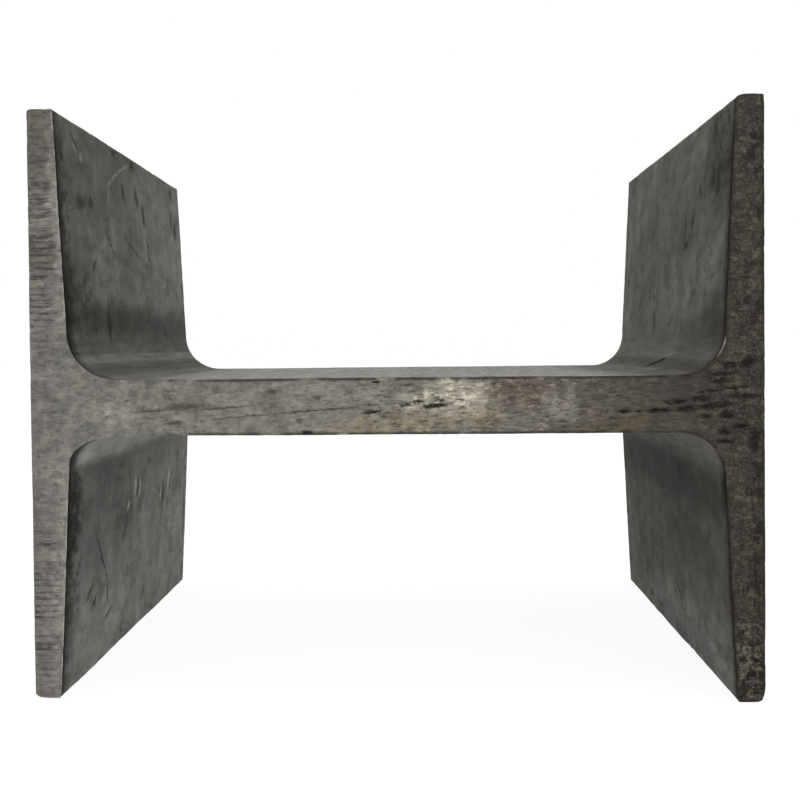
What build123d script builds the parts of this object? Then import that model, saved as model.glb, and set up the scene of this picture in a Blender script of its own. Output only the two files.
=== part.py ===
from build123d import *
import os
from math import radians, tan

# A short piece of hot-rolled wide-flange steel beam, sawn square at both ends. It lies with its
# web level and its two flanges upright, so that it stands on the lower toes of the flanges.
# X runs along the section's depth from flange to flange, Y along the beam and Z up. The origin is
# on the floor under the middle of the piece. Lengths are in millimetres and angles in degrees.

# The rolled section.
depth = 200.0                     # over the outer faces of both flanges
flange_width = 163.4              # from toe to toe, the height of the piece as it lies
web_thickness = 15.8
web_drop = 1.0                    # how far the rolls left the web below the middle of the flanges
toe_thickness = 7.6               # of a flange, measured at its toes
flange_taper = 2.8                # slope of a flange's inner face towards the toe
root_radius = 12.0                # the fillet between web and flange

# The toes come from the rolls a little uneven: the inner corners are nearly sharp, and each outer
# corner has its own rounding.
inner_corner_radius = 0.6
upper_left_corner_radius = 1.2
upper_right_corner_radius = 0.7
lower_left_corner_radius = 1.8
lower_right_corner_radius = 3.2

# The sawn length.
length = 150.0

# Places that follow from the sizes above, seen from the middle of the web's thickness.
flange_face = depth / 2
upper_toe_height = flange_width / 2 + web_drop
lower_toe_height = flange_width / 2 - web_drop
web_face = web_thickness / 2


def round_corner(outline, point, radius):
    """Round the corner of an outline that lies at a point."""
    nearest = outline.vertices().sort_by_distance(point)[0]
    return fillet(nearest, radius)


def quarter_section(toe_height, outer_corner_radius):
    """A quarter of the section, from the middle of the web to the toe up and to the right."""
    toe_inner_face = flange_face - toe_thickness
    flange_growth = (toe_height - web_face) * tan(radians(flange_taper))
    web_top = (0, web_face)
    root = (toe_inner_face - flange_growth, web_face)
    toe_inner = (toe_inner_face, toe_height)
    toe_outer = (flange_face, toe_height)
    flange_middle = (flange_face, 0)
    outline = make_face(Polyline((0, 0), web_top, root, toe_inner, toe_outer, flange_middle, close=True))
    outline = round_corner(outline, root, root_radius)
    outline = round_corner(outline, toe_inner, inner_corner_radius)
    return round_corner(outline, toe_outer, outer_corner_radius)


def whole_section():
    """Four quarters, mirrored to their sides and joined along the middle of web and flanges."""
    upper_right = quarter_section(upper_toe_height, upper_right_corner_radius)
    upper_left = quarter_section(upper_toe_height, upper_left_corner_radius).mirror(Plane.YZ)
    lower_right = quarter_section(lower_toe_height, lower_right_corner_radius).mirror(Plane.XZ)
    lower_left = quarter_section(lower_toe_height, lower_left_corner_radius).mirror(Plane.YZ)
    return upper_right + upper_left + lower_right + lower_left.mirror(Plane.XZ)


def rolled_beam():
    """The section stood upright in the XZ plane and run along Y for the sawn length."""
    sawn_end = Plane.XZ.offset(-length / 2) * Pos(0, lower_toe_height) * whole_section()
    return extrude(sawn_end, length)


os.makedirs("parts", exist_ok=True)
export_step(rolled_beam(), "parts/rolled_beam.step")
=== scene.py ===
import math

import bmesh
import bpy
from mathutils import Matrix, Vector


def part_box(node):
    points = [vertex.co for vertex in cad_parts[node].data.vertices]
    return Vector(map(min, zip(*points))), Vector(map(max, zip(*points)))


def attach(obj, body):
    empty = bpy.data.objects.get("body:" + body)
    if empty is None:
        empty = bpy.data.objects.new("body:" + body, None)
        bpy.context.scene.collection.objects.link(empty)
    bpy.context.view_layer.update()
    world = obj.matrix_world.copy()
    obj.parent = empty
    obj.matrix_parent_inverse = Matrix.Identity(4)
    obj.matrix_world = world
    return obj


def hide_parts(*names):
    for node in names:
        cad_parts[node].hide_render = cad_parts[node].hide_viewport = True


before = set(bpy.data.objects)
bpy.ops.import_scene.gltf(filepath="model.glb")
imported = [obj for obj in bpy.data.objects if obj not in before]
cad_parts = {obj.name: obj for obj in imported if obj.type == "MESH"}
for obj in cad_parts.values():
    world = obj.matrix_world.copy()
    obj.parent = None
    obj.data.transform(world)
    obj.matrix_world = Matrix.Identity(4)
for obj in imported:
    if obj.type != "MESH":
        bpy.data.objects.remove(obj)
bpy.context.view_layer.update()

mm = 0.001        # a millimetre in scene units
sameSpot = 1e-6   # scene units; places closer than this are the same
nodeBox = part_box("rolled_beam")


# an sRGB hex colour as the linear one that a socket takes
def linearColour(hexColour):
    channels = [int(hexColour[i:i + 2], 16) / 255 for i in (1, 3, 5)]
    return [c / 12.92 if c <= 0.04045 else ((c + 0.055) / 1.055) ** 2.4 for c in channels] + [1]


# a socket by its place or its name, among those that the node's mode shows
def findSocket(sockets, name):
    if isinstance(name, int):
        return sockets[name]
    return next(s for s in sockets if s.enabled and s.name == name)


# adds one node with its settings and links; a link may start at a node, then its first output is meant
def addNode(tree, kind, settings=None, links=None):
    node = tree.nodes.new(kind)
    for name, value in (settings or {}).items():
        if isinstance(name, str) and hasattr(node, name):
            setattr(node, name, value)
        else:
            findSocket(node.inputs, name).default_value = value
    for name, source in (links or {}).items():
        if isinstance(source, bpy.types.Node):
            source = next(s for s in source.outputs if s.enabled)
        tree.links.new(source, findSocket(node.inputs, name))
    return node


# the rolled section, in millimetres as in the CAD solid, but with this piece's own uneven roots and corners
beam = {
    "webThickness": 15.8,
    "webDrop": 1.0,            # the web lies this far below the middle of the flanges
    "toeThickness": 7.6,
    "taper": 2.8,              # degrees, on the flanges' inner faces
    # by side and up or down: how far each rounding reaches along the web or toe, and up the flange
    "roots": {(-1, 1): (14.0, 13.0), (1, 1): (12.0, 12.0), (-1, -1): (14.0, 7.5), (1, -1): (12.0, 12.0)},
    "innerCorners": {(-1, 1): (0.6, 0.6), (1, 1): (3.4, 1.1), (-1, -1): (0.8, 0.6), (1, -1): (0.6, 0.6)},
    "outerCorners": {(-1, 1): (1.2, 1.2), (1, 1): (0.7, 0.7), (-1, -1): (4.6, 1.5), (1, -1): (2.6, 3.6)},
    "toeStretch": 4.0,         # near the toes the grid is finer, for their round corners
    "burrStretch": 0.6,        # the first row behind the sawn face, for its burr
    "smoothBelow": 40,         # degrees; sharper edges, such as those of the saw's cut, stay crisp
}
# how many faces the grid gets along each stretch, so that relief of a few tenths shows
grid = {
    "webAcross": 142,
    "webHalf": 6,
    "flangeAcross": 14,
    "leg": 55,
    "toe": 8,
    "length": 62,
    "sawnRows": 4,             # the front face's rows are split again, for the saw's lines
    "sawnToeRows": 2,
}

depthHalf = nodeBox[1].x / mm
lengthHalf = nodeBox[1].y / mm
flangeWidth = nodeBox[1].z / mm
webHalf = beam["webThickness"] / 2
webMiddle = flangeWidth / 2 - beam["webDrop"]
toeReach = {1: flangeWidth - webMiddle, -1: webMiddle}   # from the web's middle, up and down
slope = math.tan(math.radians(beam["taper"]))
rootEdge = depthHalf - beam["toeThickness"] - slope * (flangeWidth / 2 - webHalf)


# selects the faces or edges that pass a test, and nothing else
def pick(piece, kind, test):
    bpy.ops.mesh.select_mode(type=kind)
    bpy.ops.mesh.select_all(action="DESELECT")
    mesh = bmesh.from_edit_mesh(piece.data)
    for item in mesh.faces if kind == "FACE" else mesh.edges:
        if test(item):
            item.select_set(True)
    mesh.select_flush_mode()
    bmesh.update_edit_mesh(piece.data)


# the middle of an edge, in millimetres
def middle(edge):
    return (edge.verts[0].co + edge.verts[1].co) / 2 / mm


# whether an edge runs along X, Y or Z
def runs(edge, axis):
    step = edge.verts[1].co - edge.verts[0].co
    return abs(step["XYZ".index(axis)]) > 0.9 * step.length


def cutEdges(piece, test, pieces):
    pick(piece, "EDGE", test)
    bpy.ops.mesh.subdivide(number_cuts=pieces - 1)


# a block for the web, whose ends grow into the flanges and these into their legs
def buildSection():
    bpy.ops.object.select_all(action="DESELECT")
    size = (2 * rootEdge * mm, 2 * lengthHalf * mm, 2 * webHalf * mm)
    bpy.ops.mesh.primitive_cube_add(size=1, location=(0, 0, webMiddle * mm), scale=size)
    piece = bpy.context.object
    piece.name = "dressed_beam"
    bpy.ops.object.transform_apply(location=True, rotation=True, scale=True)
    bpy.ops.object.mode_set(mode="EDIT")
    bpy.ops.mesh.bisect(plane_co=(0, 0, webMiddle * mm), plane_no=(0, 0, 1))
    for side in (-1, 1):
        pick(piece, "FACE", lambda f: f.normal.x * side > 0.9)
        reach = side * (depthHalf - rootEdge) * mm
        bpy.ops.mesh.extrude_region_move(TRANSFORM_OT_translate={"value": (reach, 0, 0)})
    for way in (-1, 1):
        pick(piece, "FACE", lambda f: f.normal.z * way > 0.9 and abs(f.calc_center_median().x) > rootEdge * mm)
        toeStart = toeReach[way] - beam["toeStretch"]
        for start, end in ((webHalf, toeStart), (toeStart, toeReach[way])):
            bpy.ops.mesh.extrude_region_move(TRANSFORM_OT_translate={"value": (0, 0, way * (end - start) * mm)})
            # the inner edge of what was just pulled out leans outwards, for the taper
            height = (webMiddle + way * end) * mm
            before = rootEdge + slope * (start - webHalf)
            pick(piece, "EDGE", lambda e: runs(e, "Y") and abs(middle(e).z * mm - height) < sameSpot
                 and abs(middle(e).x) < depthHalf - 1)
            wider = (before + slope * (end - start)) / before
            bpy.ops.transform.resize(value=(wider, 1, 1))
            pick(piece, "FACE", lambda f: f.normal.z * way > 0.9
                 and abs(f.calc_center_median().z - height) < sameSpot)
    bpy.ops.mesh.select_all(action="SELECT")
    bpy.ops.mesh.bisect(plane_co=(0, (beam["burrStretch"] - lengthHalf) * mm, 0), plane_no=(0, 1, 0))
    return piece


# the grid over the section, finer on the sawn face that the camera sees
def cutGrid(piece):
    def inWeb(e):
        return abs(middle(e).z - webMiddle) < webHalf

    def inToe(e):
        reach = toeReach[1 if middle(e).z > webMiddle else -1]
        return abs(middle(e).z - webMiddle) > reach - beam["toeStretch"]

    def onFront(e):
        return middle(e).y < sameSpot / mm - lengthHalf

    cutEdges(piece, lambda e: runs(e, "X") and abs(middle(e).x) < rootEdge - 1, grid["webAcross"])
    cutEdges(piece, lambda e: runs(e, "X") and abs(middle(e).x) > rootEdge, grid["flangeAcross"])
    cutEdges(piece, lambda e: runs(e, "Z") and inWeb(e), grid["webHalf"])
    cutEdges(piece, lambda e: runs(e, "Z") and not inWeb(e) and inToe(e), grid["toe"])
    cutEdges(piece, lambda e: runs(e, "Z") and not inWeb(e) and not inToe(e), grid["leg"])
    cutEdges(piece, lambda e: runs(e, "Y") and middle(e).y > beam["burrStretch"] - lengthHalf, grid["length"])
    cutEdges(piece, lambda e: onFront(e) and runs(e, "Z") and not inToe(e), grid["sawnRows"])
    cutEdges(piece, lambda e: onFront(e) and runs(e, "Z") and inToe(e), grid["sawnToeRows"])
    cutEdges(piece, lambda e: onFront(e) and runs(e, "X") and abs(middle(e).x) < rootEdge, 2)


# which side a place is on and whether it's above or below the web, with its distances from the middle
def quarterOf(x, z):
    return (1 if x > 0 else -1, 1 if z > webMiddle else -1), Vector((abs(x), abs(z - webMiddle)))


# the way from a place in a corner's open side to the arc of its root, or None where there is no arc
def wayToRoot(quarter, place):
    radii = Vector(beam["roots"][quarter])
    reach = math.hypot(radii.x, radii.y * slope)
    centre = Vector((rootEdge + slope * radii.y - reach, webHalf + radii.y))
    if place.x > centre.x and place.y < centre.y - radii.y ** 2 * slope / reach:
        away = centre - place
        return away * (1 - 1 / math.hypot(away.x / radii.x, away.y / radii.y))
    return None


# pulls the corner between web and flange out to the root's arc, less and less towards the solid's inside
def roundRoots(mesh):
    for v in mesh.verts:
        quarter, place = quarterOf(v.co.x / mm, v.co.z / mm)
        inner = rootEdge + slope * max(place.y - webHalf, 0)
        pull = wayToRoot(quarter, Vector((min(place.x, inner), max(place.y, webHalf))))
        if pull is not None:
            inWeb = min(place.y, webHalf) / webHalf
            inFlange = 1 - max(place.x - inner, 0) / (depthHalf - inner)
            place += pull * inWeb * inFlange
            v.co.x, v.co.z = quarter[0] * place.x * mm, (webMiddle + quarter[1] * place.y) * mm


# rounds the toes' corners: a block of the grid at each corner becomes a quarter of an oval
def roundToes(mesh):
    for v in mesh.verts:
        for corners in ("outerCorners", "innerCorners"):
            quarter, place = quarterOf(v.co.x / mm, v.co.z / mm)
            radii, reach = beam[corners][quarter], toeReach[quarter[1]]
            inner = depthHalf - beam["toeThickness"] - slope * (reach - place.y)
            fromSide = depthHalf - place.x if corners == "outerCorners" else place.x - inner
            a, b = 1 - fromSide / radii[0], 1 - (reach - place.y) / radii[1]
            if a > 0 and b > 0:
                outwards = 1 if corners == "outerCorners" else -1
                place.x += outwards * radii[0] * a * (math.sqrt(1 - b * b / 2) - 1)
                place.y += radii[1] * b * (math.sqrt(1 - a * a / 2) - 1)
                v.co.x, v.co.z = quarter[0] * place.x * mm, (webMiddle + quarter[1] * place.y) * mm


# how far a place on the sawn face is from the nearest rolled face
def gapToRolledFace(x, z):
    quarter, place = quarterOf(x, z)
    toRoot = wayToRoot(quarter, place)
    if toRoot is not None:
        inner = toRoot.length
    elif place.x < rootEdge:
        inner = webHalf - place.y
    else:
        inner = place.x - rootEdge - slope * (place.y - webHalf)
    return max(0.0, min(depthHalf - place.x, toeReach[quarter[1]] - place.y, inner))


# place in millimetres, from a position in metres
def inMillimetres(tree, position):
    return addNode(tree, "ShaderNodeVectorMath", {"operation": "SCALE", "Scale": 1 / mm}, {0: position})


# the faces that carry marks: the axis each looks along, where it lies on that axis, and which way a turn
# about it raises a slant
faces = {
    "sawn": {"axis": "Y", "depth": -lengthHalf, "rise": 1},
    "left": {"axis": "X", "depth": -rootEdge, "rise": -1},
    "right": {"axis": "X", "depth": rootEdge, "rise": -1},
}


# how far from the middle of a slanted oval a place is, 1 on its outline; the slant rises to the right, in
# degrees
def ovalReach(tree, place, face, along, z, halfLength, halfWidth, slant=0.0):
    look = faces[face]
    through = 8.0   # deep enough for the faces' taper and the roots, and not for the flanges' outer faces
    centre = (along, look["depth"], z) if look["axis"] == "Y" else (look["depth"], along, z)
    shares = (1 / halfLength, 1 / through, 1 / halfWidth)
    if look["axis"] == "X":
        shares = (shares[1], shares[0], shares[2])
    if slant:
        place = addNode(tree, "ShaderNodeVectorRotate", {
            "rotation_type": look["axis"] + "_AXIS", "Center": centre,
            "Angle": math.radians(slant) * look["rise"]}, {"Vector": place})
    scaled = addNode(tree, "ShaderNodeVectorMath", {
        "operation": "MULTIPLY_ADD", 1: shares, 2: [-c * s for c, s in zip(centre, shares)]}, {0: place})
    return addNode(tree, "ShaderNodeVectorMath", {"operation": "LENGTH"}, {0: scaled}).outputs["Value"]


# 1 inside any of the marks and 0 outside, with a soft rim; a plain list is for the sawn end, and the rolled
# faces have one for each side
def anyMark(tree, place, marks, rim=0.5):
    lists = marks.items() if isinstance(marks, dict) else [("sawn", marks)]
    nearest = None
    for face, ovals in lists:
        for oval in ovals:
            reach = ovalReach(tree, place, face, *oval)
            nearest = reach if nearest is None else addNode(
                tree, "ShaderNodeMath", {"operation": "MINIMUM"}, {0: nearest, 1: reach})
    return addNode(tree, "ShaderNodeMapRange", {
        "interpolation_type": "SMOOTHSTEP", "From Min": 1 + rim, "From Max": 1 - rim}, {"Value": nearest})


# 1 where any of several patterns is
def anyOf(tree, *patterns):
    strongest = patterns[0]
    for pattern in patterns[1:]:
        strongest = addNode(tree, "ShaderNodeMath", {"operation": "MAXIMUM"}, {0: strongest, 1: pattern})
    return strongest


# 1 only where all of several patterns are
def allOf(tree, *patterns):
    shared = patterns[0]
    for pattern in patterns[1:]:
        shared = addNode(tree, "ShaderNodeMath", {"operation": "MULTIPLY"}, {0: shared, 1: pattern})
    return shared


# places shaken by a few tenths or millimetres, so that no mark has a clean outline
def shakenPlace(tree, place, size, amount):
    finer = addNode(tree, "ShaderNodeVectorMath", {"operation": "SCALE", "Scale": 1 / size}, {0: place})
    shake = addNode(tree, "ShaderNodeTexNoise", {"Scale": 1.0, "Detail": 1.0}, {"Vector": finer})
    centred = addNode(tree, "ShaderNodeVectorMath", {
        "operation": "SUBTRACT", 1: (0.5, 0.5, 0.5)}, {0: shake.outputs["Color"]})
    return addNode(tree, "ShaderNodeVectorMath", {
        "operation": "MULTIPLY_ADD", 1: (amount,) * 3}, {0: centred, 2: place})


# an uneven grain, from 0 to 1 about a half, as coarse as its three sizes in millimetres
def grain(tree, place, sizes, detail=2.0, roughness=0.5, swirl=0.0):
    sized = addNode(tree, "ShaderNodeVectorMath", {"operation": "DIVIDE", 1: sizes}, {0: place})
    return addNode(tree, "ShaderNodeTexNoise", {
        "Scale": 1.0, "Detail": detail, "Roughness": roughness, "Distortion": swirl}, {"Vector": sized})


# the high places of such a grain, rising from 0 to 1 between two of its levels
def spots(tree, place, sizes, low, high, detail=2.0, roughness=0.5, swirl=0.0):
    return addNode(tree, "ShaderNodeMapRange", {
        "interpolation_type": "SMOOTHSTEP", "From Min": low, "From Max": high}, {
        "Value": grain(tree, place, sizes, detail, roughness, swirl)})


# rises from 0 to 1 between two places along an axis, in millimetres
def riseAlong(tree, place, axis, start, end):
    parts = addNode(tree, "ShaderNodeSeparateXYZ", {}, {"Vector": place})
    return addNode(tree, "ShaderNodeMapRange", {
        "interpolation_type": "SMOOTHSTEP", "From Min": start, "From Max": end}, {"Value": parts.outputs[axis]})


# 1 within one distance of the web's middle and 0 beyond another, in millimetres up or down; 0 on the flanges'
# outer faces
def nearWeb(tree, place, near, far):
    withinFlange = (depthHalf - 6, depthHalf - 3)
    parts = addNode(tree, "ShaderNodeSeparateXYZ", {}, {"Vector": place})
    offset = addNode(tree, "ShaderNodeMath", {"operation": "SUBTRACT", 1: webMiddle}, {0: parts.outputs["Z"]})
    distance = addNode(tree, "ShaderNodeMath", {"operation": "ABSOLUTE"}, {0: offset})
    side = addNode(tree, "ShaderNodeMath", {"operation": "ABSOLUTE"}, {0: parts.outputs["X"]})
    return allOf(tree, *(addNode(tree, "ShaderNodeMapRange", {
        "interpolation_type": "SMOOTHSTEP", "From Min": outer, "From Max": inner}, {"Value": measure})
        for measure, inner, outer in ((distance, near, far), (side, *withinFlange))))


# lays further tones over a first one: each has its mask, colour and strength
def layCoats(tree, tone, coats):
    for mask, hexColour, strength in coats:
        share = addNode(tree, "ShaderNodeMath", {"operation": "MULTIPLY", 1: strength}, {0: mask})
        tone = addNode(tree, "ShaderNodeMix", {
            "data_type": "RGBA", "B": linearColour(hexColour)}, {"Factor": share, "A": tone})
    return tone


# darkens and lightens a tone by grains: each has the factors at its low and high places
def shadeBy(tree, tone, shades):
    lowest, highest = 0.3, 0.7   # about as far as a grain gets from a half
    for pattern, low, high in shades:
        factor = addNode(tree, "ShaderNodeMapRange", {
            "From Min": lowest, "From Max": highest, "To Min": low, "To Max": high}, {"Value": pattern})
        tone = addNode(tree, "ShaderNodeVectorMath", {"operation": "SCALE"}, {0: tone, "Scale": factor})
    return tone


# the patterns' depths added up, in millimetres; a bump leaves out the placed marks, which the mesh has
def sumOfDepths(tree, patterns, settings, forBump=False):
    total = None
    for name, depth in settings["depths"].items():
        if forBump and name in settings["meshOnly"]:
            continue
        total = addNode(tree, "ShaderNodeMath", {"operation": "MULTIPLY_ADD", 1: depth, 2: 0.0}, {
            0: patterns[name], **({} if total is None else {2: total})})
    return total


# a new material without nodes, and its tree
def emptyMaterial(name):
    material = bpy.data.materials.new(name)
    material.use_nodes = True
    material.node_tree.nodes.clear()
    return material, material.node_tree


# 1 for the camera and for what shows in a reflection or through glass, 0 for the light that falls on things
def seenDirectly(tree):
    path = addNode(tree, "ShaderNodeLightPath")
    rays = ("Is Camera Ray", "Is Glossy Ray", "Is Transmission Ray")
    return anyOf(tree, *(path.outputs[ray] for ray in rays))


# the sawn ends: lines of the band saw, scratches and gouges, in millimetres and degrees; marks have x, z,
# half length, half width and slant
sawnEnd = {
    "linePitch": 1.8,          # a little coarser than the photo's 1.5, to show in the render
    "lineSlant": 1.0,
    "strokeSlant": 2.6,
    "depths": {"lines": 0.12, "speckle": 0.12, "strokes": 0.10, "specks": 0.15,
               "scratches": 0.15, "gouges": 0.35},
    "meshOnly": ("scratches", "gouges"),   # so many marks in a bump render slowly
    # where the saw's lines show
    "lined": [(-96.9, 127, 4.4, 30), (-96.7, 27, 4.4, 23)],
    "scratches": [
        (-57.8, 80.9, 5.2, 0.9, 5), (-46.3, 80.5, 8.5, 0.28, 3.8), (-41, 78.1, 9, 0.2, 4.3),
        (-24.5, 79.4, 6, 0.32, 4.5), (-15, 80.1, 5, 0.25, 4), (-66, 79.8, 5, 0.3, 3),
        (-20.4, 83.0, 1.0, 0.6), (-25.4, 76.9, 1.0, 0.7), (-33, 84.9, 1.4, 0.8), (-60, 76.5, 2.4, 0.6, 4),
        (3.4, 81.6, 4, 0.3, 3), (58, 82.7, 3, 0.3, 6), (36, 86.0, 4, 0.25, 3), (64, 84.5, 3, 0.3, 8),
    ],
    "gouges": [
        (-5.8, 79.1, 2.8, 0.5, 5), (-23.2, 73.6, 1.5, 0.5), (-4.3, 87.2, 1.0, 0.7), (3.5, 80.9, 1.8, 0.5, 4),
        (11.7, 80.7, 4.2, 0.6, 6), (13.2, 82.2, 1.5, 0.45, 4), (6.8, 81.9, 1.2, 0.5, 4),
        (62.5, 78.7, 1.8, 0.5, 3), (66.2, 78.8, 1.0, 0.4), (71.6, 79.0, 3.6, 0.6, 3),
        (79.4, 79.4, 3.2, 0.8, 4), (86.6, 80.2, 4.8, 0.8, 6), (82.9, 82.1, 2.6, 0.8, 5),
        (76.5, 81.3, 3.0, 0.6, 5), (94.3, 82.6, 5.0, 0.5, 3), (84, 77.3, 1.8, 0.6, 4),
        (89.8, 77.6, 2.0, 1.1), (89.2, 73.0, 1.6, 0.8), (89.3, 70.5, 2.4, 0.55), (88.7, 86.8, 3.1, 0.6, 3),
        (88.9, 88.7, 3.1, 0.5, 3), (90.3, 91.0, 2.0, 1.0, 5), (95.4, 91.8, 2.4, 1.3, 20),
        (92, 85.0, 3.0, 0.4, 4), (85, 84.0, 3.2, 0.4, 5), (97, 71.0, 1.5, 2.8), (93.5, 74.5, 2.4, 0.5, 3),
    ],
    # soft stains and rubbed places
    "dull": [(-96, 156, 6, 13), (-97, 122, 5, 5)],
    "paleInside": [(-92.0, 131, 26, 1.4, 92.8), (-92.4, 34, 34, 2.1, 87.2)],
    "clean": [(-76, 78.8, 5, 3.6)],
    "rubbedGrey": [(45, 81, 5, 3.4, 10)],
    # a rubbed straw patch, made brighter by a painted highlight of the metal's sheen
    "straw": [(18, 83.4, 8.5, 4.6, 8), (7, 81.5, 5, 2.2, 5)],
    "ochre": [(2, 76.0, 18, 2.2, 3), (24, 77.5, 6, 2.4)],
    "olive": [(64, 75.0, 20, 2.2, 3)],
    "redBrown": [(34, 84.5, 8, 4.2, -6)],
    "sooty": [(98, 146, 2.6, 10), (97.5, 112, 3.2, 8), (99, 128, 1.6, 30), (98.6, 50, 2.0, 26)],
    "rough": [(95.5, 11, 5.4, 11)],
    # a torn edge on the right root, brightened by a painted highlight
    "burr": [(88.8, 95.8, 2.6, 1.4, 58)],
}


# 0 to 1 across the lines that the saw's teeth left
def sawLines(tree, place):
    ownPitch = 0.314             # between the wave texture's bands, at its scale 1
    stretch = (0.16, 0.16, 1)    # the lines waver slowly along their way
    turned = addNode(tree, "ShaderNodeVectorRotate", {
        "rotation_type": "Y_AXIS", "Angle": math.radians(sawnEnd["lineSlant"])}, {"Vector": place})
    flat = addNode(tree, "ShaderNodeVectorMath", {"operation": "MULTIPLY", 1: stretch}, {0: turned})
    waves = addNode(tree, "ShaderNodeTexWave", {
        "bands_direction": "Z", "Scale": ownPitch / sawnEnd["linePitch"], "Distortion": 7.0, "Detail": 2.0,
        "Detail Scale": 0.28, "Detail Roughness": 0.6}, {"Vector": flat})
    return addNode(tree, "ShaderNodeMapRange", {
        "interpolation_type": "SMOOTHSTEP", "From Min": 0.62, "From Max": 1.0}, {"Value": waves})


# what both the relief and the colour of a sawn end follow
def sawnPatterns(tree, place):
    ragged = shakenPlace(tree, place, 1.2, 1.0)
    turned = addNode(tree, "ShaderNodeVectorRotate", {
        "rotation_type": "Y_AXIS", "Angle": math.radians(sawnEnd["strokeSlant"])}, {"Vector": place})
    # the saw's lines come out in some stretches only, with uneven ones among them
    stretches = spots(tree, place, (20, 20, 6), 0.3, 0.68)
    uneven = spots(tree, place, (9, 9, 1.1), 0.55, 0.63, 3.0, 0.6)
    worn = spots(tree, place, (3.0, 3.0, 0.9), 0.3, 0.54, 3.0, 0.65)
    lined = allOf(tree, anyMark(tree, place, sawnEnd["lined"], 0.3), worn)
    # a gouge is a row of short bites along the saw's way
    bites = spots(tree, turned, (1.8, 1.8, 0.5), 0.32, 0.46, 3.0, 0.6)
    return {
        "lines": allOf(tree, lined, anyOf(tree, allOf(tree, sawLines(tree, place), stretches), uneven)),
        "speckle": grain(tree, place, (2.3, 2.3, 1.7), 4.0, 0.66),
        "strokes": spots(tree, turned, (3.4, 3.4, 0.6), 0.52, 0.66, 3.0, 0.6),
        "specks": spots(tree, place, (1.3, 1.3, 1.1), 0.64, 0.76, 1.0),
        "scratches": anyMark(tree, ragged, sawnEnd["scratches"]),
        "gouges": allOf(tree, anyMark(tree, ragged, sawnEnd["gouges"]), bites)}


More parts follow.
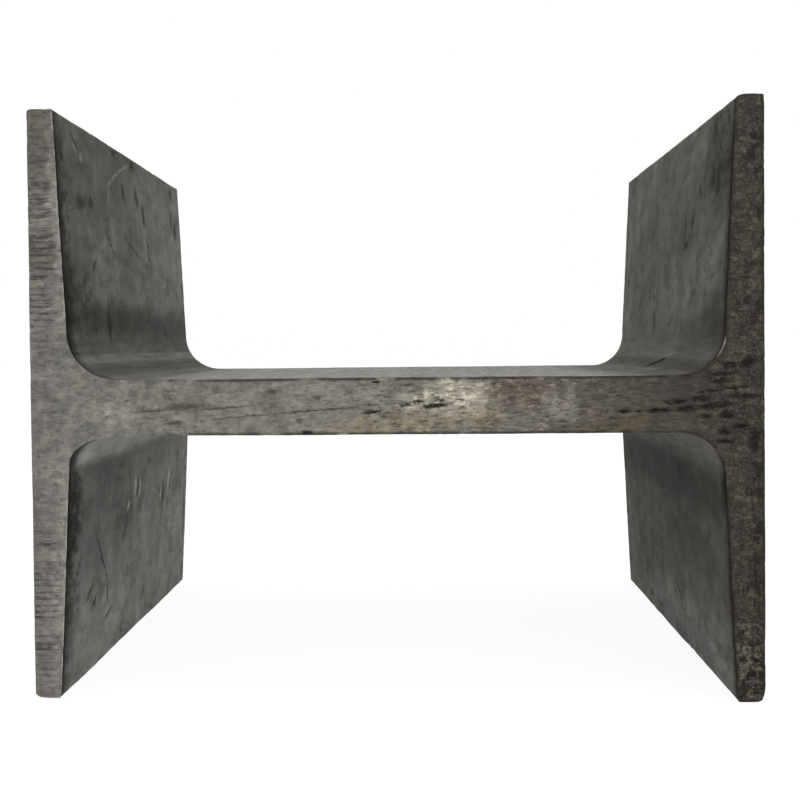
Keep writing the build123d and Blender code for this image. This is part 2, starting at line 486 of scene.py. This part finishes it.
# the hot-rolled skin: its waviness, flakes of scale and creases, in millimetres and degrees; marks have y, z,
# half length, half width and slant
rolledSkin = {
    "waveLength": 38.0,
    "flakeSize": 9.0,
    "depths": {"waves": 0.20, "wrinkles": 0.24, "streaks": 0.06, "flakes": 0.10, "creases": 0.12,
               "pockets": 0.30, "gouge": 0.40, "ridges": -0.10, "raised": -0.15},
    "meshOnly": ("pockets", "ridges", "raised"),
    # dents and cracks in the scale, darkened by painted shade
    "pockets": {
        "left": [(-7.5, 149.3, 3.6, 2.0, -60), (9, 150.6, 4.6, 2.8, -60), (17.5, 144.5, 4.4, 1.8, -70),
                 (5.3, 160.7, 3.5, 1.6), (22, 131, 7, 0.8, -66),
                 (-17.4, 161.3, 2.5, 1.2), (62, 158.8, 4, 2.4), (66.6, 144.3, 2.6, 3.4), (61, 148, 2.0, 3.2),
                 (-54.5, 140.3, 4.5, 2.4), (-44, 141.5, 2.5, 1.6), (-32.8, 104, 4.6, 2.2, -84),
                 (-57.5, 158, 3.4, 0.8, -34), (-69, 151.7, 2.8, 0.9, -58), (-44.6, 122.4, 3, 1.0, 40),
                 (-26.4, 130.8, 5.3, 0.5, -37), (0.3, 131.7, 11, 0.5, -19), (12, 124, 5, 0.5, -80),
                 (-40.3, 32.3, 11.3, 0.7, -50), (-33.3, 20.2, 3.8, 0.7, -88), (-31.2, 13.3, 4.2, 0.8, 15),
                 (-51.4, 24.7, 3.5, 0.7, 30), (-47, 20.5, 3, 0.7, 40), (-1.5, 49.5, 3.4, 0.8, 88),
                 (4.5, 47, 3, 0.8, 88), (35, 40, 8, 0.7, 86), (71.5, 30, 11, 1.0, 90), (46.5, 45, 4, 0.7, 80)],
        "right": [(-68.6, 158, 1.4, 3.0), (-54.7, 158.5, 2.2, 1.5), (-57.3, 156.2, 3.4, 0.6, 41),
                  (-62, 151.2, 3.4, 0.6, 53), (-54.8, 144.7, 1.4, 4.0), (-59.9, 141, 1.8, 2.6),
                  (-41.2, 141.8, 2.6, 1.4, 50), (-25.8, 127.5, 2.4, 1.4), (-24, 133, 4.5, 1.0, 88),
                  (-33, 134.5, 4, 0.9, -60), (15.8, 104.8, 3.5, 1.2, 88), (25.3, 116.4, 5, 0.6, 88),
                  (71.6, 133, 9, 1.2, 90), (-10.4, 16.2, 5.6, 0.5, 35),
                  (-16.3, 10.7, 3.0, 0.6, 57), (32.4, 5.3, 1.6, 1.2), (16.7, 4.7, 1.8, 0.7)],
    },
    # dull ridges with a faint painted highlight, and raised marks with a strong one
    "ridges": {
        "left": [(-52, 153.7, 1.8, 1.4), (-23.5, 150.5, 1.8, 0.5, 33), (-17.8, 153.6, 4.7, 0.5, 26),
                 (-6.3, 158, 8.6, 0.5, 18), (-26, 146, 3.5, 0.5, 75), (-56.8, 155.5, 3.0, 0.5, -50),
                 (-20.5, 34, 7, 0.5, 66)],
        "right": [(-20, 93.4, 4, 0.5, -12)],
    },
    "raised": {
        "left": [(-4.9, 50.3, 3, 1.0, 88), (1.2, 48.7, 3, 0.9, 88), (31.8, 43, 3, 1.1, 88),
                 (43.6, 47, 4, 1.5, 75), (-12.6, 44.5, 2, 0.8, 60)],
    },
    "gouge": {"right": [(-10, 90.6, 10, 0.7, -10.5)]},   # on the root
    # dark beside the saw's cut, and scorched further in
    "burnt": {
        "left": [(-76, 140, 5.0, 34), (-76, 114, 9, 12), (-76, 48, 9, 24), (-76, 18, 7, 24),
                 (-75, 103, 6, 12)],
        "right": [(-76, 125, 4.6, 46), (-76, 58, 5.4, 9), (-76, 20, 4.4, 40)],
    },
    "scorched": {
        "left": [(-60, 110, 16, 10), (-69, 138, 5, 26), (-50, 140, 5, 3), (-68, 44, 6, 30)],
        "right": [(-62, 148, 12, 14)],
    },
    # wide pale and dark areas: painted light and painted shade, partly the scale's own paler and darker patches
    "paleScaleAndPaintedLight": {
        "left": [(10, 24, 160, 46)],
        "right": [(-10, 4, 70, 13)],
    },
    "darkScaleAndPaintedShade": {
        "left": [(0, 107, 120, 5), (-44, 48, 34, 22)],
        "right": [(-64, 103, 10, 7), (-58, 148, 14, 14)],
    },
    # the same, fainter: also painted light and painted shade, partly the scale's own tone
    "faintPaleScaleAndPaintedLight": {
        "left": [(45, 128, 45, 28)],
        "right": [(-48, 122, 14, 12), (-22, 110, 26, 7), (-34, 13, 60, 12)],
    },
    "faintDarkScaleAndPaintedShade": {
        "left": [(-22, 150, 36, 14), (-58, 126, 9, 18), (-60, 10, 9, 10), (-16, 36, 14, 10)],
        "right": [(40, 92, 60, 5), (-36, 33, 20, 14)],
    },
    # straight bands of painted light and painted shade along the roots
    "paintedLightBands": {
        "left": [(0, 94.2, 160, 1.3)],
        "right": [(0, 67, 160, 6)],
    },
    "paintedShadeBands": {
        "left": [(0, 97, 160, 6), (0, 104.5, 160, 5.5)],
        "right": [(0, 54, 160, 7)],
    },
}


# what both the relief and the colour of the rolled faces follow
def rolledPatterns(tree, place):
    ragged = shakenPlace(tree, place, 2.0, 1.8)
    # up the flanges the wrinkles stand upright; on the web and its roots they run along the rolling
    onRoots = nearWeb(tree, place, 17, 22)
    lengthways = grain(tree, place, (3.0, 90, 3.0), 3.0, 0.6)
    streaks = addNode(tree, "ShaderNodeMix", {}, {
        "Factor": onRoots, "A": grain(tree, place, (6, 7, 28), 3.0, 0.6), "B": lengthways})
    wrinkles = addNode(tree, "ShaderNodeMix", {}, {
        "Factor": onRoots, "A": grain(tree, place, (3.0, 9.0, 4.5), 4.0, 0.68),
        "B": grain(tree, place, (2.4, 14.0, 2.4), 3.0, 0.6)})
    # a crease follows the middle level of a slow wave
    folds = grain(tree, place, (20, 18, 30), 1.0, swirl=1.2)
    offLevel = addNode(tree, "ShaderNodeMath", {"operation": "SUBTRACT", 1: 0.5}, {0: folds})
    distance = addNode(tree, "ShaderNodeMath", {"operation": "ABSOLUTE"}, {0: offLevel})
    narrow = addNode(tree, "ShaderNodeMapRange", {
        "interpolation_type": "SMOOTHSTEP", "From Min": 0.016, "From Max": 0.0}, {"Value": distance})
    offRoots = addNode(tree, "ShaderNodeMath", {"operation": "SUBTRACT", 0: 1.0}, {1: onRoots})
    flake = rolledSkin["flakeSize"]
    flakes = spots(tree, place, (flake, 1.5 * flake, flake), 0.56, 0.61, 3.0, 0.55, 0.8)
    return {
        "waves": spots(tree, place, (rolledSkin["waveLength"],) * 3, 0.3, 0.7, 3.0),
        "wrinkles": wrinkles,
        "streaks": streaks,
        "mottle": addNode(tree, "ShaderNodeMix", {"B": 0.5}, {
            "Factor": onRoots, "A": grain(tree, place, (7, 14, 18), 3.0, 0.6)}),
        "flakes": allOf(tree, flakes, offRoots),
        "creases": allOf(tree, narrow, spots(tree, place, (18, 22, 18), 0.47, 0.6), offRoots),
        "pockets": anyMark(tree, ragged, rolledSkin["pockets"]),
        "gouge": anyMark(tree, place, rolledSkin["gouge"], 0.3),
        "ridges": anyMark(tree, ragged, rolledSkin["ridges"]),
        "raised": anyMark(tree, ragged, rolledSkin["raised"])}


# sinks the rolled faces square to the beam, and the sawn ones along it
def carveRelief(piece):
    tree = bpy.data.node_groups.new("surfaceRelief", "GeometryNodeTree")
    for way in ("INPUT", "OUTPUT"):
        tree.interface.new_socket("Geometry", in_out=way, socket_type="NodeSocketGeometry")
    entry = addNode(tree, "NodeGroupInput")
    place = inMillimetres(tree, addNode(tree, "GeometryNodeInputPosition"))
    rolled = sumOfDepths(tree, rolledPatterns(tree, place), rolledSkin)
    sawn = sumOfDepths(tree, sawnPatterns(tree, place), sawnEnd)
    depths = addNode(tree, "ShaderNodeCombineXYZ", {}, {"X": rolled, "Y": sawn, "Z": rolled})
    inwards = addNode(tree, "ShaderNodeVectorMath", {
        "operation": "MULTIPLY"}, {0: addNode(tree, "GeometryNodeInputNormal"), 1: depths})
    offset = addNode(tree, "ShaderNodeVectorMath", {"operation": "SCALE", "Scale": -mm}, {0: inwards})
    moved = addNode(tree, "GeometryNodeSetPosition", {}, {"Geometry": entry, "Offset": offset})
    addNode(tree, "NodeGroupOutput", {}, {"Geometry": moved})
    piece.modifiers.new("surfaceRelief", "NODES").node_group = tree
    bpy.ops.object.modifier_apply(modifier="surfaceRelief")


# sawn structural steel: dull grey where it's clean, straw where it was rubbed (there with a painted highlight),
# brown and darker to the right where it has oxidised, partly also as painted shade
def sawnSteel():
    material, tree = emptyMaterial("sawn_structural_steel")
    place = inMillimetres(tree, addNode(tree, "ShaderNodeTexCoord").outputs["Object"])
    clouded = shakenPlace(tree, place, 5.0, 7.0)
    patterns = sawnPatterns(tree, place)

    # the first tone, from the left flange's outer face to the right one's, with the stops between them by X; it
    # darkens to the right partly by brown oxide and partly as painted shade
    across = addNode(tree, "ShaderNodeSeparateXYZ", {}, {"Vector": clouded})
    share = addNode(tree, "ShaderNodeMapRange", {
        "From Min": -depthHalf, "From Max": depthHalf}, {"Value": across.outputs["X"]})
    ramp = addNode(tree, "ShaderNodeValToRGB", {}, {"Fac": share})
    stops = ramp.color_ramp.elements
    stops[0].color, stops[1].color = linearColour("#716e69"), linearColour("#2e2a26")
    for x, colour in ((-92, "#72706a"), (-20, "#78756e"), (0, "#706d66"), (15, "#6b6860"), (35, "#67635c"),
                      (50, "#544f48"), (66, "#48433d"), (80, "#383430"), (92, "#312d28")):
        stops.new((x + depthHalf) / (2 * depthHalf)).color = linearColour(colour)

    # stains with soft, drifting outlines
    stains = {name: anyMark(tree, clouded, sawnEnd[name], 0.6) for name in (
        "dull", "paleInside", "rubbedGrey", "straw", "ochre", "olive", "redBrown", "sooty", "rough")}
    tone = layCoats(tree, ramp, [
        (stains["dull"], "#5b5852", 0.7),
        (stains["paleInside"], "#908d87", 0.45),
        (stains["ochre"], "#857b63", 0.6),
        (stains["olive"], "#4d4738", 0.6),
        (stains["redBrown"], "#4f4037", 0.6),
        (anyMark(tree, place, sawnEnd["clean"], 0.6), "#9a978f", 0.5),
        (stains["rubbedGrey"], "#8b867d", 0.4),
        # the straw patch, partly a painted highlight
        (stains["straw"], "#a09a8b", 0.75)])
    tone = shadeBy(tree, tone, [
        (patterns["speckle"], 0.63, 1.37),
        (grain(tree, place, (7, 7, 3.5), 3.0, 0.6), 0.84, 1.16)])

    # the middle of the web is rubbed and scratched the most, and the right flange is the most oxidised
    rubbed = riseAlong(tree, clouded, "X", -35, 5)
    middleOfWeb = allOf(tree, rubbed, riseAlong(tree, clouded, "X", 66, 40))
    oxidised = riseAlong(tree, clouded, "X", 72, 90)
    notOxidised = riseAlong(tree, clouded, "X", 90, 72)
    paleStrokes = spots(tree, place, (2.8, 2.8, 0.9), 0.54, 0.66, 3.0, 0.6)
    paleGrains = spots(tree, place, (2.0, 2.0, 1.4), 0.5, 0.64, 3.0, 0.65)
    blotches = spots(tree, place, (3.0, 3.0, 5.0), 0.47, 0.6, 4.0, 0.65)
    lightGrit = spots(tree, place, (0.6, 0.6, 0.7), 0.45, 0.7, 2.0, 0.6)
    darkGrit = spots(tree, place, (2.6, 2.6, 3.2), 0.47, 0.57, 3.0, 0.65)
    paleGrit = spots(tree, place, (1.5, 1.5, 1.2), 0.47, 0.6, 3.0, 0.65)
    tone = layCoats(tree, tone, [
        (patterns["lines"], "#34312c", 0.74),
        (allOf(tree, patterns["strokes"], notOxidised), "#4f4b44", 0.32),
        (allOf(tree, patterns["strokes"], rubbed, notOxidised), "#332d26", 0.62),
        (allOf(tree, paleStrokes, middleOfWeb), "#998f80", 0.52),
        # bright grains of the painted highlight on the straw patch
        (allOf(tree, paleGrains, stains["straw"]), "#cfcaba", 0.7),
        (allOf(tree, paleGrains, oxidised), "#635b50", 0.34),
        (allOf(tree, blotches, oxidised), "#1f1b17", 0.66),
        (allOf(tree, lightGrit, oxidised), "#6d665b", 0.24),
        (allOf(tree, blotches, stains["sooty"]), "#181512", 0.7),
        (allOf(tree, paleGrit, stains["rough"]), "#777065", 0.55),
        (allOf(tree, darkGrit, stains["rough"]), "#0e0d0b", 0.85),
        (patterns["specks"], "#3d3832", 0.4),
        (patterns["scratches"], "#3d3932", 0.7),
        (patterns["gouges"], "#15110e", 0.92)])

    # along the rim the burr gets a painted highlight on the left flange, and a line of painted shade on the web
    # and the right flange
    rimGap = addNode(tree, "ShaderNodeAttribute", {"attribute_name": "edgeGap"}).outputs["Fac"]
    narrowRim, wideRim = (
        addNode(tree, "ShaderNodeMapRange", {
            "interpolation_type": "SMOOTHSTEP", "From Min": outer, "From Max": inner}, {"Value": rimGap})
        for outer, inner in ((0.8, 0.3), (1.3, 0.5)))
    brokenUp = spots(tree, place, (2.6, 2.6, 2.6), 0.44, 0.6, 3.0)
    leftRim = addNode(tree, "ShaderNodeMapRange", {
        "From Min": -84, "From Max": -88}, {"Value": across.outputs["X"]})
    webRim = riseAlong(tree, place, "X", -82, -40)
    awayFromWeb = nearWeb(tree, place, 26, 20)
    tone = layCoats(tree, tone, [
        (allOf(tree, narrowRim, brokenUp, leftRim, awayFromWeb), "#aaa7a0", 0.5),
        (allOf(tree, wideRim, spots(tree, place, (7, 7, 7), 0.32, 0.5, 3.0), webRim), "#29241f", 0.75),
        # painted highlight on the torn edge of the right root
        (allOf(tree, narrowRim, brokenUp, anyMark(tree, place, sawnEnd["burr"])), "#8f8a83", 0.6)])

    bump = addNode(tree, "ShaderNodeBump", {"Distance": mm, "Strength": 0.7, "invert": True}, {
        "Height": sumOfDepths(tree, patterns, sawnEnd, forBump=True)})
    surface = addNode(tree, "ShaderNodeBsdfPrincipled", {
        "Metallic": 0.85, "Roughness": 0.55}, {"Base Color": tone, "Normal": bump})
    addNode(tree, "ShaderNodeOutputMaterial", {}, {"Surface": surface})
    return material


# hot-rolled mill scale: a dark grey oxide skin with a dull sheen at a low angle, matt where it burnt off
def millScale():
    material, tree = emptyMaterial("hot_rolled_mill_scale")
    place = inMillimetres(tree, addNode(tree, "ShaderNodeTexCoord").outputs["Object"])
    clouded = shakenPlace(tree, place, 12.0, 8.0)
    frayed = shakenPlace(tree, place, 3.0, 2.4)
    patterns = rolledPatterns(tree, place)

    tones = addNode(tree, "ShaderNodeMix", {
        "data_type": "RGBA", "A": linearColour("#5a5955"), "B": linearColour("#6a6964")}, {
        "Factor": spots(tree, place, (40, 60, 40), 0.4, 0.6, 3.0)})
    burnt = anyMark(tree, frayed, rolledSkin["burnt"], 0.7)
    scorched = allOf(tree, anyMark(tree, clouded, rolledSkin["scorched"], 0.6),
                     spots(tree, place, (2.6, 5, 3.2), 0.4, 0.58, 4.0, 0.6))
    # the web's faces are paler than the flanges by a painted sheen; the foot of each upper root is darkened by
    # painted shade, and the lower left root is lightened by painted light
    webFace = nearWeb(tree, place, 8.4, 10)
    middleOfWeb = allOf(
        tree, webFace, riseAlong(tree, place, "X", -78, -64), riseAlong(tree, place, "X", 74, 54))
    eitherRoot = anyOf(tree, riseAlong(tree, place, "X", -62, -72), riseAlong(tree, place, "X", 64, 72))
    paintedShadeAtRootFoot = allOf(
        tree, nearWeb(tree, place, 10.4, 12.6), riseAlong(tree, place, "Z", 88.8, 89.8), eitherRoot)
    lowerRoot = allOf(tree, nearWeb(tree, place, 15.2, 18.6), riseAlong(tree, place, "Z", 74.4, 73.4),
                      riseAlong(tree, place, "X", -58, -68))
    # towards the cut the web is brown, and the last two millimetres of every face are dark
    atCut = allOf(tree, riseAlong(tree, frayed, "Y", -64, -73), webFace)
    besideCut = riseAlong(tree, shakenPlace(tree, place, 1.5, 1.2), "Y", -72.6, -74.4)
    tone = layCoats(tree, tones, [
        # painted sheen on the web's faces
        (middleOfWeb, "#8f8d88", 0.85),
        # wide areas of painted light and painted shade, partly the scale's own paler and darker patches
        (anyMark(tree, clouded, rolledSkin["paleScaleAndPaintedLight"], 0.4), "#9f9e9c", 0.62),
        (anyMark(tree, clouded, rolledSkin["darkScaleAndPaintedShade"], 0.6), "#262523", 0.53),
        (anyMark(tree, clouded, rolledSkin["faintPaleScaleAndPaintedLight"], 0.7), "#9f9e9c", 0.25),
        (anyMark(tree, clouded, rolledSkin["faintDarkScaleAndPaintedShade"], 0.7), "#262523", 0.2),
        # painted shade and painted light in straight bands along the roots
        (anyMark(tree, place, rolledSkin["paintedShadeBands"], 0.6), "#262523", 0.45),
        (anyMark(tree, place, rolledSkin["paintedLightBands"], 0.3), "#93928f", 0.24),
        # painted shade at the foot of each upper root
        (paintedShadeAtRootFoot, "#292825", 0.55),
        # painted light on the lower left root
        (lowerRoot, "#d8d8d6", 0.42)])
    tone = shadeBy(tree, tone, [
        (patterns["wrinkles"], 0.76, 1.24),
        (patterns["streaks"], 0.88, 1.12),
        (patterns["mottle"], 0.82, 1.18)])
    tone = layCoats(tree, tone, [
        (patterns["flakes"], "#47453f", 0.35),
        # painted shade in the creases
        (patterns["creases"], "#2c2b27", 0.35),
        (scorched, "#262420", 0.65),
        # painted shade in the dents, cracks and the gouge
        (patterns["pockets"], "#22211d", 0.7),
        (patterns["gouge"], "#0e0d0b", 0.95),
        # painted highlights on the ridges and raised marks
        (patterns["ridges"], "#b0ada6", 0.28),
        (patterns["raised"], "#e6e4e0", 0.45),
        (atCut, "#3f3932", 0.7),
        (burnt, "#141311", 0.85),
        (allOf(tree, lowerRoot, riseAlong(tree, frayed, "Y", -66, -72)), "#1c1a18", 0.75),
        (besideCut, "#191714", 0.75)])
    dullness = addNode(tree, "ShaderNodeMapRange", {"To Min": 0.62, "To Max": 0.95}, {"Value": burnt})
    bump = addNode(tree, "ShaderNodeBump", {"Distance": mm, "Strength": 0.9, "invert": True}, {
        "Height": sumOfDepths(tree, patterns, rolledSkin, forBump=True)})
    surface = addNode(tree, "ShaderNodeBsdfPrincipled", {
        "Specular IOR Level": 0.02}, {"Base Color": tone, "Roughness": dullness, "Normal": bump})
    addNode(tree, "ShaderNodeOutputMaterial", {}, {"Surface": surface})
    return material


# the whole beam, from block to finish
def makeBeam():
    piece = buildSection()
    cutGrid(piece)
    bpy.ops.object.mode_set(mode="OBJECT")
    mesh = bmesh.new()
    mesh.from_mesh(piece.data)
    roundRoots(mesh)
    roundToes(mesh)
    mesh.to_mesh(piece.data)
    mesh.free()
    gaps = piece.data.attributes.new("edgeGap", "FLOAT", "POINT")
    gaps.data.foreach_set("value", [gapToRolledFace(v.co.x / mm, v.co.z / mm) for v in piece.data.vertices])
    piece.data.materials.append(millScale())
    piece.data.materials.append(sawnSteel())
    for face in piece.data.polygons:
        face.material_index = 1 if abs(face.normal.y) > 0.7 else 0
    carveRelief(piece)
    bpy.ops.object.shade_smooth_by_angle(angle=math.radians(beam["smoothBelow"]))
    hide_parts("rolled_beam")
    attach(piece, "root")


# how the floor and the room look to the camera, and how brightly the room lights things
studio = {
    "floorWidth": 12,      # metres
    "floorGlow": 1.15,
    "glowShare": 0.8,      # the rest is paint, which takes the beam's shadow
    "roomSeen": 1.0,
    "roomLight": 0.5,
}


# a pale sweep under the beam, white to the camera but for the beam's shadow
def makeFloor():
    bpy.ops.object.select_all(action="DESELECT")
    bpy.ops.mesh.primitive_plane_add(size=studio["floorWidth"])
    floor = bpy.context.object
    floor.name = "studio_floor"
    material, tree = emptyMaterial("white_floor")
    share = addNode(tree, "ShaderNodeMath", {
        "operation": "MULTIPLY", 1: studio["glowShare"]}, {0: seenDirectly(tree)})
    paint = addNode(tree, "ShaderNodeBsdfDiffuse", {"Color": linearColour("#f4f4f2")})
    glow = addNode(tree, "ShaderNodeEmission", {
        "Color": linearColour("#ffffff"), "Strength": studio["floorGlow"]})
    surface = addNode(tree, "ShaderNodeMixShader", {}, {0: share, 1: paint, 2: glow})
    addNode(tree, "ShaderNodeOutputMaterial", {}, {"Surface": surface})
    floor.data.materials.append(material)


# the room: white to the camera and in reflections, a plain grey to what it lights
def makeWorld():
    world = bpy.data.worlds.new("studio")
    bpy.context.scene.world = world
    world.use_nodes = True
    tree = world.node_tree
    tree.nodes.clear()
    strength = addNode(tree, "ShaderNodeMapRange", {
        "To Min": studio["roomLight"], "To Max": studio["roomSeen"]}, {"Value": seenDirectly(tree)})
    background = addNode(tree, "ShaderNodeBackground", {"Color": (1, 1, 1, 1)}, {"Strength": strength})
    addNode(tree, "ShaderNodeOutputWorld", {}, {"Surface": background})


# soft lamps, each aimed at the beam: place and size in metres, power in watts
lamps = {
    "topSoftbox": {"place": (0.0, 0.2, 1.1), "size": 1.2, "power": 6.0},
    "keySoftbox": {"place": (0.7, -0.9, 0.35), "size": 0.7, "power": 5.0},
    "fillSoftbox": {"place": (-0.9, -0.9, 0.5), "size": 0.8, "power": 2.0},
}


def makeLamps():
    for name, lamp in lamps.items():
        bpy.ops.object.light_add(type="AREA", location=lamp["place"])
        light = bpy.context.object
        light.name = name
        light.data.size = lamp["size"]
        light.data.energy = lamp["power"]
        aim = Vector((0, 0, webMiddle * mm)) - light.location
        light.rotation_euler = aim.to_track_quat("-Z", "Y").to_euler()


# where the photograph was taken from; the picture's centre lies off the lens's axis
camera = {
    "place": (0.00881, -0.36631, 0.09707),    # metres
    "pitch": -1.158,                          # degrees
    "turn": 2.816,
    "roll": 0.594,
    "focalLength": 48.25,                     # millimetres
    "frameWidth": 36,
    "axisPixel": (370.9, 367.9),              # where the axis meets the picture
    "pictureSize": 800,                       # pixels, both ways
    "nearest": 0.01,                          # metres
}


def makeCamera():
    bpy.ops.object.camera_add(location=camera["place"])
    view = bpy.context.object
    view.rotation_euler = [math.radians(a) for a in (90 + camera["pitch"], camera["roll"], camera["turn"])]
    view.data.lens = camera["focalLength"]
    view.data.sensor_width = camera["frameWidth"]
    view.data.shift_x = 0.5 - camera["axisPixel"][0] / camera["pictureSize"]
    view.data.shift_y = camera["axisPixel"][1] / camera["pictureSize"] - 0.5
    view.data.clip_start = camera["nearest"]
    bpy.context.scene.camera = view


print("beam")
makeBeam()
print("floor, room and lamps")
makeFloor()
makeWorld()
makeLamps()
makeCamera()
bpy.context.scene.view_settings.view_transform = "Standard"
